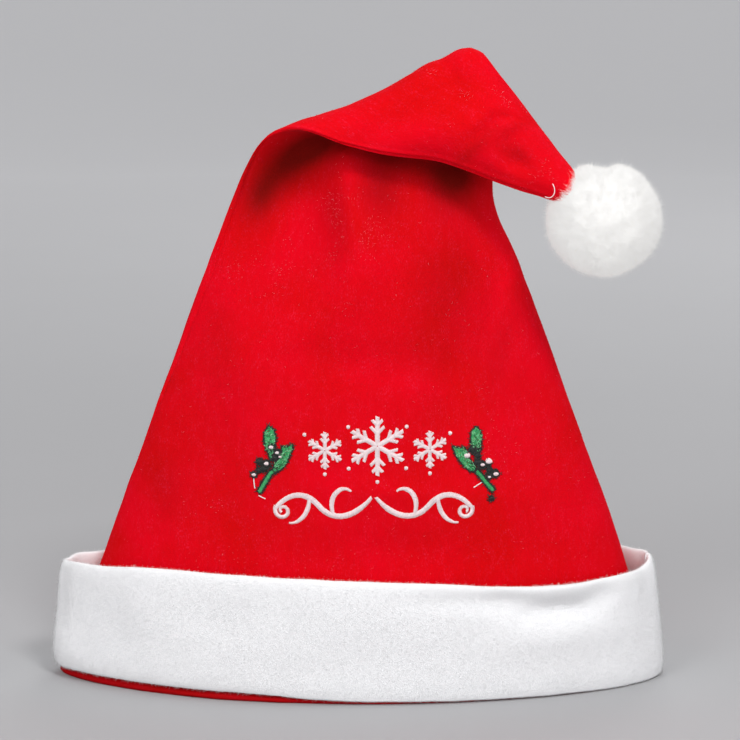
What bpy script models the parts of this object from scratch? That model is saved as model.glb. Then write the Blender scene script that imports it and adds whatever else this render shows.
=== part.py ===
"""Santa hat of red velour that stands on its turned-up white plush cuff.

The upper third of the red cone is folded over to the front and hangs to the right, and a white
pompom is sewn to its tip. Metres, +Z up, the hat's front faces -Y. The origin is on the surface
that the hat stands on, at the middle of the cuff's footprint.
"""

import math
import random
from collections import namedtuple

import bmesh
import bpy
import numpy as np
from mathutils import Vector

MM = 0.001

# Driving dimensions
WALL = 2.0 * MM                   # velour with its backing
SEAM = 3.4 * MM                   # cloth at the two side creases, where it is doubled
CUFF_THICKNESS = 4.0 * MM         # doubled plush
GAP = 0.3 * MM                    # between pieces that touch
TIP_END = 352 * MM                # where the gathered tip is sewn off
HOLLOW_END = 334 * MM             # how far the cone is hollow
LEFT_CREASE = 1.45                # 1 is a round end of the section, and more is a sharper one
RIGHT_CREASE = 1.15

# The cone before it is folded: where its section starts and ends, and its depth each way
Section = namedtuple("Section", "height left right front back")
SECTIONS = [Section(*(value * MM for value in row)) for row in (
    (0, -129.8, 129.5, 44.0, 44.0),
    (48, -114.0, 116.6, 38.0, 38.0),
    (130, -83.3, 87.0, 31.0, 31.0),
    (180, -65.2, 68.6, 27.0, 27.0),
    (213, -52.0, 56.3, 24.0, 24.0),
    (240, -38.5, 55.8, 21.0, 22.0),
    (266, -18.8, 51.2, 16.0, 19.0),
    (290, -2.8, 42.2, 11.0, 16.0),
    (320, 3.8, 29.6, 8.0, 12.0),
    (345, 9.5, 20.0, 6.0, 9.0),
    (366, 12.0, 14.5, 3.0, 4.0),
)]

# The fold: a line that rises to the right across the cone, about which its top is bent forward
FOLD_ANGLE = math.radians(30)
FOLD_HEIGHT = 234 * MM            # of the line, over the hat's middle
FLAP_OPENS = 25 * MM              # past the bend, the flap fills out over this length
SWING_START = 42 * MM             # along the fold line, where the tip starts to hang back
SWING_LENGTH = 55 * MM
SWING = 11 * MM
Bend = namedtuple("Bend", "along radius angle reach kink flap")
BENDS = [Bend(a * MM, r * MM, math.radians(turn), reach * MM, kink, flap)
         for a, r, turn, reach, kink, flap in (
    (-50, 21.5, 158, 60, 0.22, 0.55),
    (-27, 18.0, 158, 55, 0.22, 0.65),
    (-4, 11.5, 158, 40, 0.30, 0.75),
    (18, 8.4, 160, 45, 0.28, 0.75),
    (50, 7.0, 164, 60, 0.32, 0.75),
    (90, 7.0, 164, 60, 0.32, 0.75),
)]

# How far the cloth stands above that bend at its highest, along the fold
Crest = namedtuple("Crest", "along lift")
CRESTS = [Crest(a * MM, lift * MM) for a, lift in (
    (-60, 0.0), (-46, 1.6), (-34, 3.0), (-18, 2.2), (-6, 0.6), (6, -0.5), (18, -0.5), (32, 0.2),
    (44, 2.3), (52, 2.2), (59, 1.2), (62, -0.6), (68, -2.4))]

# Soft hollows (and, where depth is below 0, soft ridges) in the cloth, before it is folded
Dent = namedtuple("Dent", "side x height wide tall lean depth")
FRONT, BACK = -1, 1
DENTS = [Dent(side, x * MM, z * MM, w * MM, t * MM, math.radians(lean), d * MM)
         for side, x, z, w, t, lean, d in (
    (FRONT, -74, 92, 24, 40, -20, 3.0),
    (FRONT, 47, 150, 11, 46, 14, 3.2),
    (FRONT, 24, 62, 46, 12, 0, 2.2),
    (FRONT, -3, 178, 12, 30, 0, -2.4),
    (FRONT, 4, 142, 44, 9, 4, 1.5),
    (BACK, 20, 120, 16, 60, 10, 3.0),
    (BACK, -38, 86, 22, 44, -12, 3.2),
    (BACK, 31, 272, 7, 17, -38, 2.4),
    (BACK, 20, 306, 6, 13, -30, 2.0),
)]

# The hem, a low roll of the red cloth under the cuff: height share and how far it stands out
HEM_HEIGHT = 2.6 * MM
HEM_RISE = 0.8 * MM               # higher by this at the left end and lower at the right
HEM_FOOT = 1.4 * MM               # how far its flat underside reaches outwards
HEM_ROLL = ((1.15, 0.0), (0.95, 1.5), (0.6, 2.7), (0.25, 2.5))

# The cuff, by the direction it is seen in from the hat's middle: top edge and lean of its top
Cuff = namedtuple("Cuff", "turn top lean")
CUFF = [Cuff(math.radians(turn), top * MM, lean * MM) for turn, top, lean in (
    (0, 53.5, -6.5),
    (45, 52.0, -1.0),
    (90, 51.0, 0.0),
    (135, 50.5, 0.0),
    (180, 51.0, -3.2),
    (225, 51.5, 0.0),
    (255, 50.0, 0.6),
    (285, 47.5, 1.2),
    (315, 49.0, 0.4),
    (360, 53.5, -6.5),
)]
CUFF_BULGE = 0.5 * MM
CUFF_DENTS = ((74 * MM, 37 * MM, 26 * MM, 7 * MM, 3.0 * MM), (38 * MM, 40 * MM, 24 * MM, 6 * MM, 1.2 * MM))

# The pompom
POMPOM_CENTRE = Vector((101.3, -24.5, 202.9)) * MM
POMPOM_RADIUS = 24.2 * MM
CORE_RADIUS = 18.5 * MM
LOCK_END = 0.98                   # width of a lock's end, as a share of its root
LOCK_VARIES = 1.6 * MM
LOCK_STRAYS = 0.5 * MM            # how far a lock's end is off to one side
ROOTS_STRAY = 0.03                # as a share of the core's radius
BARE_ROUND_TIP = 11.5 * MM        # no locks this near to the line of the crown's tip
PARTINGS = (((0.22, -0.25, 0.94), 4.5 * MM, 0.22), ((-0.14, -0.45, -0.88), 3.0 * MM, 0.18))
SEED = 12

# How finely the solids are faceted
AROUND = 44
OUTER_HEIGHTS = [h * MM for h in (
    10, 24, 40, 56, 72, 88, 104, 120, 136, 152, 168, 184, 198, 210, 220, 228, 234, 238, 242, 246, 250, 254,
    258, 263, 269, 276, 284, 292, 300, 309, 318, 327, 336, 345)]
INNER_HEIGHTS = [h * MM for h in (
    24, 56, 88, 120, 152, 184, 210, 228, 234, 238, 242, 246, 250, 254, 258, 263, 269, 276, 284, 292, 301,
    312, 324)]

# Between these heights the rings tilt until they run along the fold, and then level out again
TILT_STARTS, TILT_LENGTH = 60 * MM, 150 * MM
TILT_ENDS, LEVEL_LENGTH = 290 * MM, 50 * MM
CUFF_LEVELS = (0.0, 0.05, 0.2, 0.45, 0.68, 0.84, 0.95, 1.0)
SOCKET_HEIGHTS = [h * MM for h in (300, 309, 318, 327, 336, 345)]

# Colours of the materials
RED = (0.62, 0.004, 0.012, 1)
WHITE = (0.87, 0.87, 0.88, 1)
FUR_WHITE = (0.88, 0.87, 0.85, 1)


def smooth(x):
    """0 below 0, 1 above 1, and an S-curve between."""
    x = np.clip(x, 0, 1)
    return x * x * (3 - 2 * x)


def read(table, column, at):
    """A table's column at one or more values of its first column, on a smooth curve with no overshoot."""
    x = np.array([row[0] for row in table])
    y = np.array([getattr(row, column) for row in table])
    at = np.clip(at, x[0], x[-1])
    step, slope = np.diff(x), np.diff(y) / np.diff(x)
    tangent = np.zeros(len(x))
    tangent[0], tangent[-1] = slope[0], slope[-1]
    same_way = slope[:-1] * slope[1:] > 0
    pair = np.where(same_way, slope[:-1] + slope[1:], 1)
    tangent[1:-1] = np.where(same_way, 2 * slope[:-1] * slope[1:] / pair, 0)
    i = np.clip(np.searchsorted(x, at, side="right") - 1, 0, len(step) - 1)
    t, h = (at - x[i]) / step[i], step[i]
    return ((1 + 2 * t) * (1 - t) ** 2 * y[i] + t * (1 - t) ** 2 * h * tangent[i]
            + t * t * (3 - 2 * t) * y[i + 1] + t * t * (t - 1) * h * tangent[i + 1])


def side_shape(turn):
    """The depth of the section at a direction, as a share from -1 at the front to 1 at the back."""
    c, s = np.cos(turn), np.sin(turn)
    crease = RIGHT_CREASE * (1 + c) / 2 + LEFT_CREASE * (1 - c) / 2
    return np.sign(s) * np.abs(s) ** crease


def dented(x, height, share):
    """How far the dents move the cloth along Y."""
    moved = np.zeros_like(x)
    for dent in DENTS:
        across = (x - dent.x) * math.cos(dent.lean) - (height - dent.height) * math.sin(dent.lean)
        up = (x - dent.x) * math.sin(dent.lean) + (height - dent.height) * math.cos(dent.lean)
        near = np.exp(-(across / dent.wide) ** 2 - (up / dent.tall) ** 2)
        here = np.clip(dent.side * share, 0, 1)
        moved -= dent.side * dent.depth * near * here
    return moved


def cone(turn, height, inset=0.0):
    """Points of the cone at these directions and heights, folded. inset is how far in from the outside."""
    left, right = read(SECTIONS, "left", height), read(SECTIONS, "right", height)
    ends = inset * SEAM / WALL
    x = (left + right) / 2 + ((right - left) / 2 - ends) * np.cos(turn)
    share = side_shape(turn)
    depth = np.where(share > 0, read(SECTIONS, "back", height), read(SECTIONS, "front", height))

    along = x * math.cos(FOLD_ANGLE) + (height - FOLD_HEIGHT) * math.sin(FOLD_ANGLE)
    beyond = -x * math.sin(FOLD_ANGLE) + (height - FOLD_HEIGHT) * math.cos(FOLD_ANGLE)
    radius, angle, reach, kink, flap = (read(BENDS, c, along) for c in Bend._fields[1:])
    arc = angle * radius
    before = 1 + (kink - 1) * smooth((beyond + reach) / reach)
    after = kink + (flap - kink) * smooth((beyond - arc) / FLAP_OPENS)
    flattened = depth * np.where(beyond < arc, before, after)
    y = share * (flattened - inset) + dented(x, height, share)

    turned = np.clip(beyond / radius, 0, angle)
    hangs = np.maximum(beyond - arc, 0)
    rise = np.where(beyond < 0, beyond, radius * np.sin(turned) + hangs * np.cos(angle))
    forward = -radius * (1 - np.cos(turned)) - hangs * np.sin(angle)
    rise = rise + (y + read(CRESTS, "lift", along)) * np.sin(turned)
    forward = forward + y * np.cos(turned)
    forward = forward + SWING * smooth((along - SWING_START) / SWING_LENGTH) * smooth(beyond / arc - 1)
    return np.stack([along * math.cos(FOLD_ANGLE) - rise * math.sin(FOLD_ANGLE), forward,
                     FOLD_HEIGHT + along * math.sin(FOLD_ANGLE) + rise * math.cos(FOLD_ANGLE)], -1)


def directions():
    return np.linspace(0, 2 * math.pi, AROUND, endpoint=False)


def footprint(offset, height):
    """The cone's lowest section, moved outwards by offset and lifted to height; each may vary round it."""
    turn = directions()
    base = cone(turn, np.zeros(AROUND))
    tangent = np.roll(base, -1, 0) - np.roll(base, 1, 0)
    outwards = np.stack([tangent[:, 1], -tangent[:, 0]], -1)
    outwards /= np.linalg.norm(outwards, axis=1, keepdims=True)
    moved = base[:, :2] + outwards * np.reshape(offset, (-1, 1))
    return np.column_stack([moved, np.broadcast_to(height, AROUND)])


def hem_height():
    return HEM_HEIGHT - HEM_RISE * np.cos(directions())


def add_object(name, mesh, colour, roughness):
    obj = bpy.data.objects.new(name, mesh)
    bpy.context.scene.collection.objects.link(obj)
    material = bpy.data.materials.new(name)
    material.use_nodes = True
    shader = material.node_tree.nodes["Principled BSDF"]
    shader.inputs["Base Color"].default_value = colour
    shader.inputs["Roughness"].default_value = roughness
    mesh.materials.append(material)
    mesh.shade_smooth()
    mesh.set_sharp_from_angle(angle=math.radians(50))
    return obj


def loft(name, rings, first_pole=None, last_pole=None):
    """A mesh through rings of points. Each end is closed to its pole, or the last ring joins the first."""
    bm = bmesh.new()
    loops = [[bm.verts.new(point) for point in ring] for ring in rings]
    pairs = list(zip(loops, loops[1:]))
    if first_pole is None:
        pairs.append((loops[-1], loops[0]))
    for low, high in pairs:
        for i in range(len(low)):
            j = (i + 1) % len(low)
            bm.faces.new((low[i], low[j], high[j], high[i]))
    for pole, ring in ((first_pole, loops[0]), (last_pole, loops[-1])):
        if pole is not None:
            centre = bm.verts.new(pole)
            for i in range(len(ring)):
                bm.faces.new((centre, ring[i], ring[(i + 1) % len(ring)]))
    bmesh.ops.recalc_face_normals(bm, faces=bm.faces)
    mesh = bpy.data.meshes.new(name)
    bm.to_mesh(mesh)
    bm.free()
    return mesh


def cone_ring(height, inset=0.0):
    """A ring of the cone. Near the fold it is tilted, so that it runs along the fold line."""
    tilt = math.tan(FOLD_ANGLE) * smooth((height - TILT_STARTS) / TILT_LENGTH)
    tilt *= 1 - smooth((height - TILT_ENDS) / LEVEL_LENGTH)
    left, right = read(SECTIONS, "left", height), read(SECTIONS, "right", height)
    across = (left + right) / 2 + (right - left) / 2 * np.cos(directions())
    return cone(directions(), height + tilt * across, inset)


def make_crown():
    """The hollow folded cone, with the rolled hem that it stands on."""
    inner = [cone_ring(h, WALL) for h in reversed(INNER_HEIGHTS)]
    foot = [footprint(-WALL, 0.0), footprint(HEM_FOOT, 0.0)]
    hem = [footprint(out * MM, share * hem_height()) for share, out in reversed(HEM_ROLL)]
    outer = [cone_ring(h) for h in OUTER_HEIGHTS] + [cone_ring(TIP_END)]
    hollow_pole = cone_ring(HOLLOW_END, WALL).mean(0)
    tip_pole = cone_ring(TIP_END + 2 * MM).mean(0)
    mesh = loft("crown", inner + foot + hem + outer, hollow_pole, tip_pole)
    return add_object("crown", mesh, RED, 0.8)


def cuff_ring(level, outside):
    """A ring of the cuff at a share of its height, on its outer or its inner side."""
    turn = directions()
    bottom = hem_height() + GAP + 0.15 * hem_height()
    top, lean = read(CUFF, "top", turn), read(CUFF, "lean", turn)
    height = bottom + (top - bottom) * level
    rounding = math.sqrt(max(1 - abs(2 * level - 1) ** 9, 0.0))
    middle = GAP + CUFF_THICKNESS / 2 + lean * level + CUFF_BULGE * math.sin(math.pi * level)
    side = 1 if outside else -1
    offset = middle + side * rounding * CUFF_THICKNESS / 2
    plain = footprint(offset, height)
    for x, z, wide, tall, depth in CUFF_DENTS:
        near = np.exp(-((plain[:, 0] - x) / wide) ** 2 - ((plain[:, 2] - z) / tall) ** 2)
        offset = offset - depth * near * (plain[:, 1] < 0)
    return footprint(offset, height)


def make_cuff():
    """The turned-up band: a padded strip whose top edge stands clear of the crown."""
    outside = [cuff_ring(level, True) for level in CUFF_LEVELS]
    inside = [cuff_ring(level, False) for level in CUFF_LEVELS[-2:0:-1]]
    return add_object("cuff", loft("cuff", outside + inside), WHITE, 0.95)


def lock_length(direction, rng):
    """How far a lock reaches from the pompom's middle: shorter along the partings."""
    length = POMPOM_RADIUS + rng.uniform(-1, 0.25) * LOCK_VARIES
    for towards, depth, spread in PARTINGS:
        away = 1 - direction.dot(Vector(towards).normalized())
        length -= depth * math.exp(-away / spread ** 2)
    return length


def lock_roots(rng):
    """The core's cells, one to a lock: points on a unit sphere, and for each cell its corners in order."""
    bm = bmesh.new()
    bmesh.ops.create_icosphere(bm, subdivisions=3, radius=1)
    for vert in bm.verts:
        vert.co = (vert.co + Vector([rng.uniform(-ROOTS_STRAY, ROOTS_STRAY) for _ in range(3)])).normalized()
    points = [face.calc_center_median().normalized() for face in bm.faces]
    cells = []
    for vert in bm.verts:
        across = vert.co.orthogonal().normalized()
        up = vert.co.cross(across)
        corners = [face.index for face in vert.link_faces]
        corners.sort(key=lambda i: math.atan2(points[i].dot(up), points[i].dot(across)))
        cells.append((vert.co.copy(), corners))
    bm.free()
    return points, cells


def make_pompom():
    """A ball of short tapered locks fused to a core, with a socket for the crown's gathered tip."""
    rng = random.Random(SEED)
    tip = Vector(cone_ring(TIP_END).mean(0))
    axis = (Vector(cone_ring(SOCKET_HEIGHTS[0]).mean(0)) - tip).normalized()
    points, cells = lock_roots(rng)
    bm = bmesh.new()
    roots = [bm.verts.new(point * CORE_RADIUS) for point in points]
    for towards, corners in cells:
        root = [roots[i] for i in corners]
        off_tip = (towards - axis * towards.dot(axis)).length * CORE_RADIUS
        if towards.dot(axis) > 0 and off_tip < BARE_ROUND_TIP:
            bm.faces.new(root)
            continue
        middle = towards * lock_length(towards, rng)
        middle += Vector([rng.uniform(-LOCK_STRAYS, LOCK_STRAYS) for _ in range(3)])
        ends = []
        for vert in root:
            spread = vert.co - towards * vert.co.dot(towards)
            ends.append(bm.verts.new(middle + spread * LOCK_END))
        for i in range(len(root)):
            j = (i + 1) % len(root)
            bm.faces.new((root[i], root[j], ends[j], ends[i]))
        bm.faces.new(ends)
    bmesh.ops.translate(bm, verts=bm.verts, vec=POMPOM_CENTRE)
    bmesh.ops.recalc_face_normals(bm, faces=bm.faces)
    mesh = bpy.data.meshes.new("pompom")
    bm.to_mesh(mesh)
    bm.free()
    pompom = add_object("pompom", mesh, FUR_WHITE, 1.0)

    grown = [cone_ring(h, -GAP) for h in SOCKET_HEIGHTS] + [cone_ring(TIP_END + GAP, -GAP)]
    socket_mesh = loft("socket", grown, grown[0].mean(0), cone_ring(TIP_END + 3 * MM).mean(0))
    socket = bpy.data.objects.new("socket", socket_mesh)
    bpy.context.scene.collection.objects.link(socket)
    socket.hide_render = True
    socket.display_type = "WIRE"
    cut = pompom.modifiers.new("socket", "BOOLEAN")
    cut.operation = "DIFFERENCE"
    cut.object = socket
    return pompom


def clear_scene():
    for obj in list(bpy.data.objects):
        bpy.data.objects.remove(obj)


def main():
    clear_scene()
    make_crown()
    make_cuff()
    make_pompom()


main()
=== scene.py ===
import math
from collections import namedtuple

import bmesh
import bpy
import numpy as np
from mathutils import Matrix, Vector, noise
from mathutils.bvhtree import BVHTree


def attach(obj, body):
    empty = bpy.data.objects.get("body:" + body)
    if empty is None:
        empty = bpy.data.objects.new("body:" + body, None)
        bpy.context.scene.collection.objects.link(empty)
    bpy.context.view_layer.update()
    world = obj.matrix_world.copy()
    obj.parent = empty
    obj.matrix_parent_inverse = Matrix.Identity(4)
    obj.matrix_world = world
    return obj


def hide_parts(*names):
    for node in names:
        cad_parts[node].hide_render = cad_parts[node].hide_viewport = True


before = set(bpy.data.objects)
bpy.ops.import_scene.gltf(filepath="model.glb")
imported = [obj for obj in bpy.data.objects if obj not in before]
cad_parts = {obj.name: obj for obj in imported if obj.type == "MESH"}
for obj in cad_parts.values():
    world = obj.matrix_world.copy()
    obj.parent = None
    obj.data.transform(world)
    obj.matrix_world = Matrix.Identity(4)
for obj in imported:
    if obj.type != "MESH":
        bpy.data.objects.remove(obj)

MM = 0.001
MM2 = 1e6                         # per square metre, for counts given per square millimetre
UNITS = {"": 1, "mm": MM, "deg": math.pi / 180}


def table(name, columns, rows):
    """Rows with named columns, in metres and radians. mm or deg after a column's name is the unit given."""
    names, _, units = zip(*(column.partition(":") for column in columns.split()))
    row_type = namedtuple(name, names)
    return [row_type(*(value * UNITS[unit] for value, unit in zip(row, units))) for row in rows]


# Form of the red cone, as cut and folded
WALL = 2.0 * MM
SEAM = 3.4 * MM                   # cloth at the two side creases, where it is doubled
GAP = 0.3 * MM
TIP_END = 352 * MM                # where the gathered tip is sewn off
HOLLOW_END = 334 * MM
LEFT_CREASE = 1.45                # 1 is a round end of the section, and more is a sharper one
RIGHT_CREASE = 1.15

SECTIONS = table("Section", "height:mm left:mm right:mm front:mm back:mm", (
    (0, -129.8, 129.5, 44.0, 44.0),
    (48, -114.0, 116.6, 38.0, 38.0),
    (130, -83.3, 87.0, 31.0, 31.0),
    (180, -65.2, 68.6, 27.0, 27.0),
    (213, -52.0, 56.3, 24.0, 24.0),
    (240, -38.5, 55.8, 21.0, 22.0),
    (266, -18.8, 51.2, 16.0, 19.0),
    (290, -2.8, 42.2, 11.0, 16.0),
    (320, 3.8, 29.6, 8.0, 12.0),
    (345, 9.5, 20.0, 6.0, 9.0),
    (366, 12.0, 14.5, 3.0, 4.0),
))

FOLD_ANGLE = math.radians(30)
FOLD_HEIGHT = 234 * MM            # of the fold line, over the hat's middle
FLAP_OPENS = 25 * MM
SWING_START = 42 * MM
SWING_LENGTH = 55 * MM
SWING = 11 * MM
TILT_STARTS, TILT_LENGTH = 60 * MM, 150 * MM
TILT_ENDS, LEVEL_LENGTH = 290 * MM, 50 * MM
BENDS = table("Bend", "along:mm radius:mm angle:deg reach:mm kink flap", (
    (-50, 21.5, 158, 60, 0.22, 0.55),
    (-27, 18.0, 158, 55, 0.22, 0.65),
    (-4, 11.5, 158, 40, 0.30, 0.75),
    (18, 8.4, 160, 45, 0.28, 0.75),
    (50, 7.0, 164, 60, 0.32, 0.75),
    (90, 7.0, 164, 60, 0.32, 0.75),
))

# How far the cloth stands above that bend at its highest, along the fold
CRESTS = table("Crest", "along:mm lift:mm", (
    (-60, 0.0), (-46, 1.6), (-34, 3.0), (-18, 2.2), (-6, 0.6), (6, -0.5), (18, -0.5), (32, 0.2),
    (44, 2.3), (52, 2.2), (59, 1.2), (62, -0.6), (68, -2.4)))

# Soft hollows in the cloth and, where depth is below 0, ridges
FRONT, BACK = -1, 1
DENTS = table("Dent", "side x:mm height:mm wide:mm tall:mm lean:deg depth:mm", (
    (FRONT, -74, 92, 24, 40, -20, 3.0),
    (FRONT, 47, 150, 11, 46, 14, 3.2),
    (FRONT, 24, 62, 46, 12, 0, 2.2),
    (FRONT, 4, 142, 44, 9, 4, 1.5),
    (BACK, 20, 120, 16, 60, 10, 3.0),
    (BACK, -38, 86, 22, 44, -12, 3.2),
    (BACK, 31, 272, 7, 17, -38, 2.4),
    (BACK, 20, 306, 6, 13, -30, 2.0),
    # Under the fold: two hollows, and the ridge between them that fades downwards
    (FRONT, -5, 210, 9, 22, -4, -9.0),
    (FRONT, -3, 178, 12, 26, 0, -2.6),
    (FRONT, -34, 214, 12, 18, -40, 4.0),
    (FRONT, 32, 216, 16, 12, 0, 4.0),
    (FRONT, 14, 200, 7, 22, 6, 1.6),
    # Finer creases
    (FRONT, 56, 164, 4, 30, 12, 1.8),
    (FRONT, 66, 136, 5, 26, 16, -1.4),
    (FRONT, -52, 150, 9, 40, -14, -1.2),
    (FRONT, 20, 88, 40, 5, 3, -1.0),
    (BACK, 18, 298, 2.2, 9, 75, 2.4),
    (BACK, 28.5, 306, 2.4, 8, 27, 2.2),
    (BACK, 22, 305, 3, 8, 60, -1.6),
    (BACK, 13, 316, 4, 8, 0, 2.6),
    (BACK, 60, 60, 18, 30, 12, 2.5),
))

# Small unevenness of the cloth: how deep and how far apart
CROWN_WAVES = ((0.40 * MM, 24 * MM), (0.16 * MM, 9 * MM))
CUFF_WAVES = ((0.30 * MM, 16 * MM), (0.12 * MM, 5 * MM))

# Painted shade: places where the cloth is painted a darker red to stand for the shade under the fold, in the
# flap's creases and over broader parts of the front. Places seen from the front, on the front of the cone or,
# for the creases of the flap, on its back
PAINTED_SHADES = table("PaintedShade", "side x:mm z:mm wide:mm tall:mm lean:deg share", (
    (FRONT, -16, 232, 8, 14, 64, 0.7),
    (FRONT, -31, 224, 10, 20, 46, 0.85),
    (FRONT, -42, 209, 7, 10, 20, 0.5),
    (FRONT, 18, 227, 6, 24, -75, 0.7),
    (FRONT, 40, 218, 12, 12, 0, 0.9),
    (FRONT, 9, 217, 9, 14, -10, 0.50),
    (FRONT, 36, 172, 15, 28, 10, 0.24),
    (FRONT, 59, 147, 8, 24, 14, 0.22),
    (FRONT, -62, 148, 12, 30, -14, 0.10),
    (FRONT, -84, 88, 9, 14, -10, 0.20),
    (BACK, 47.7, 233.6, 2.4, 12, 45, 0.30),
    (BACK, 62, 241, 2.0, 9, 80, 0.20),
    (BACK, 64, 231, 7, 5, 20, 0.22),
))

# The side seam: how far it lies in front of the left crease, at a height
SEAM_LINE = table("Seam", "height:mm in_front:mm", (
    (0, 0.0), (130, 0.5), (180, 3.4), (225, 4.2), (250, 1.0), (275, -1.7), (320, -1.7), (352, -0.5)))
SEAM_GROOVE, SEAM_GROOVE_WIDTH = 0.8 * MM, 0.8 * MM
SEAM_WELT, SEAM_WELT_WIDTH = 0.45 * MM, 1.5 * MM

# Where pale lint clings to the nap
LINT_PATCHES = table("Lint", "side x:mm height:mm wide:mm tall:mm share", (
    (FRONT, -2, 199, 14, 18, 0.7),
    (FRONT, -34, 178, 12, 9, 0.8),
    (FRONT, 54, 115, 10, 16, 0.5),
    (FRONT, -58, 73, 10, 12, 0.5),
    (FRONT, -4, 60, 26, 6, 0.3),
    (BACK, 26.6, 283, 1.5, 5, 2.5),
    (BACK, 26, 268, 1.5, 6, 1.5),
    (BACK, 40, 290, 5, 20, 0.6),
    (BACK, 16, 330, 8, 10, 0.5),
))
LINT_SPARSE = 0.04                # between the patches
LINT_CLUSTERS, LINT_GATHERS = 7 * MM, 4

# The rolled hem under the cuff. Its roll is given from the top down, as shares of the hem's height
HEM_HEIGHT = 2.6 * MM
HEM_RISE = 0.8 * MM               # how much higher its left end is than its middle
HEM_FOOT = 1.4 * MM
# painted shade on the rolled hem, for the shade under the cuff's edge
HEM_PAINTED_SHADE = 0.55
HEM_ROLL = table("Roll", "share out:mm", (
    (1.15, 0.0), (1.1, 0.6), (0.95, 1.2), (0.78, 1.8), (0.6, 2.2), (0.4, 2.4), (0.25, 2.2), (0.1, 1.8)))
HEM_SLACK = table("Slack", "waves share phase", ((9, 0.10, 1.0), (23, 0.07, 0.0)))

# The cuff, by the direction it is seen in from the hat's middle
CUFF_THICKNESS = 4.0 * MM
CUFF_BULGE = 0.5 * MM
CUFF_SQUARE = 9                   # 2 is a round edge, and more is a squarer one
CUFF = table("Cuff", "turn:deg top:mm lean:mm", (
    (0, 53.5, -6.5),
    (45, 52.0, -1.0),
    (90, 51.0, 0.0),
    (135, 50.5, 0.0),
    (180, 51.0, -3.2),
    (213, 53.2, -0.6),
    (237, 55.8, 0.2),
    (262, 54.2, 0.7),
    (281, 53.0, 1.1),
    (297, 50.2, 0.9),
    (313, 49.0, 0.4),
    (330, 49.6, -1.4),
    (360, 53.5, -6.5),
))
CUFF_DENTS = table("CuffDent", "x:mm height:mm wide:mm tall:mm depth:mm", (
    (42, 45, 18, 4, 1.0),
    (62, 43, 12, 4.5, 2.4),
    (78, 38.5, 12, 5, 3.4),
    (92, 38, 10, 5, 3.0),
    (103, 43, 7, 5, 1.8),
    (86, 49, 14, 3.5, -1.2),
    (84, 26, 26, 7, -1.0),
    (-132, 13, 16, 12, -2.2),
    (-60, 34, 20, 12, 0.7),
    (-100, 22, 14, 14, 0.8),
    (5, 18, 40, 9, 0.5),
))
CUFF_DENTS_FADE = 20 * MM          # they are at the front, and fade out over this depth at the ends
CUFF_RIPPLES = table("Ripple", "waves size:mm phase", (
    (7, 0.35, 0.4), (11, 0.3, 2.1), (17, 0.2, 4.0), (29, 0.12, 1.2)))
RIPPLES_IN_TOP = 0.8               # how much of them the top edge rises and falls by

# How far the cuff's outer layer hangs over the hem, and where round the hat it starts to
CUFF_SAG = 3.0 * MM
CUFF_SAG_SHARE = 0.3               # of the cuff's height, from its foot
CUFF_SEWN = 1 / 80                 # the share at the foot that the seam holds up
CUFF_CLEAR = 0.1 * MM              # the lowest that it hangs
CUFF_SAG_FROM, CUFF_SAG_LENGTH = -0.45, 0.5

# The pompom
POMPOM_CENTRE = Vector((101.3, -24.5, 202.9)) * MM
POMPOM_RADIUS = 24.4 * MM
POMPOM_CORE = 21.0 * MM
POMPOM_NECK = 14.0 * MM
POMPOM_LUMPS = ((0.9 * MM, 9 * MM), (0.4 * MM, 3.2 * MM))
Parting = namedtuple("Parting", "towards depth spread")    # spread in degrees
PARTINGS = [Parting(Vector(towards).normalized(), depth * MM, spread) for towards, depth, spread in (
    ((-0.02, 0.26, 0.97), 5.5, 10.0),
    ((-0.02, -0.08, 1.00), 5.5, 10.0),
    ((-0.22, -0.42, -0.88), 1.6, 6.0),
    ((-0.24, -0.66, -0.71), 1.2, 5.0),
)]
SHORT_IN_PARTING = 0.75
BARE_RADIUS, BARE_EDGE = 4.5 * MM, 2.5 * MM     # round the tip, where no fur grows
TIP_STARTS = 310 * MM

# Fineness of the meshes
CROWN_AROUND, CROWN_ROW = 256, 2.1 * MM
CLOTH_STARTS = 6 * MM              # the lowest ring over the hem
LINING_ROWS, LINING_STARTS = 44, 12 * MM
CUFF_AROUND, CUFF_ROWS = 360, 36
CUFF_ROWS_CLOSER = 0.12            # towards the foot and the top edge
PILED_INSIDE = 0.45                # share of the inner side, down from the top edge
PILE_BEHIND = 0.8                  # as dense as at the front
POMPOM_SUBDIVISIONS = 6
TIP_AROUND = 32
SEED = 7

POMPOM_PILE = (POMPOM_RADIUS - POMPOM_CORE) / MM

# Hairs. where names the share of the surface that they grow on, tuft and lean are the size and the strength
# of the patches that they lean together in, stray is how much each goes its own way, and sinks how far all
# of them lie down
PILES = {pile.name: pile for pile in table(
    "Pile", "name where per_mm2 length:mm varies root:mm bend:mm parts tuft:mm lean stray sinks seed", (
        ("crown_nap", "pile", 0.36, 0.8, 0.3, 0.11, 0.1, 1, 9.0, 1.6, 0.7, 0.4, SEED),
        ("crown_lint", "lint", 0.9, 1.2, 0.6, 0.10, 0.5, 2, 2.0, 0.5, 3.0, 0.0, 3),
        ("cuff_pile_front", "pile_front", 2.1, 1.5, 0.65, 0.14, 0.3, 1, 3.0, 1.5, 0.8, 0.0, 1),
        ("cuff_pile_back", "pile_back", 2.1, 1.5, 0.65, 0.14, 0.3, 1, 3.0, 1.5, 0.8, 0.0, 2),
        ("pompom_fur", "pile", 7.5, POMPOM_PILE + 0.5, 0.3, 0.18, 0.3, 1, 3.2, 1.9, 0.22, 0.0, SEED),
        ("pompom_strays", "pile", 2.0, POMPOM_PILE + 2.4, 0.6, 0.17, 0.8, 2, 2.5, 0.9, 0.45, 0.0, 9),
    ))}

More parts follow.
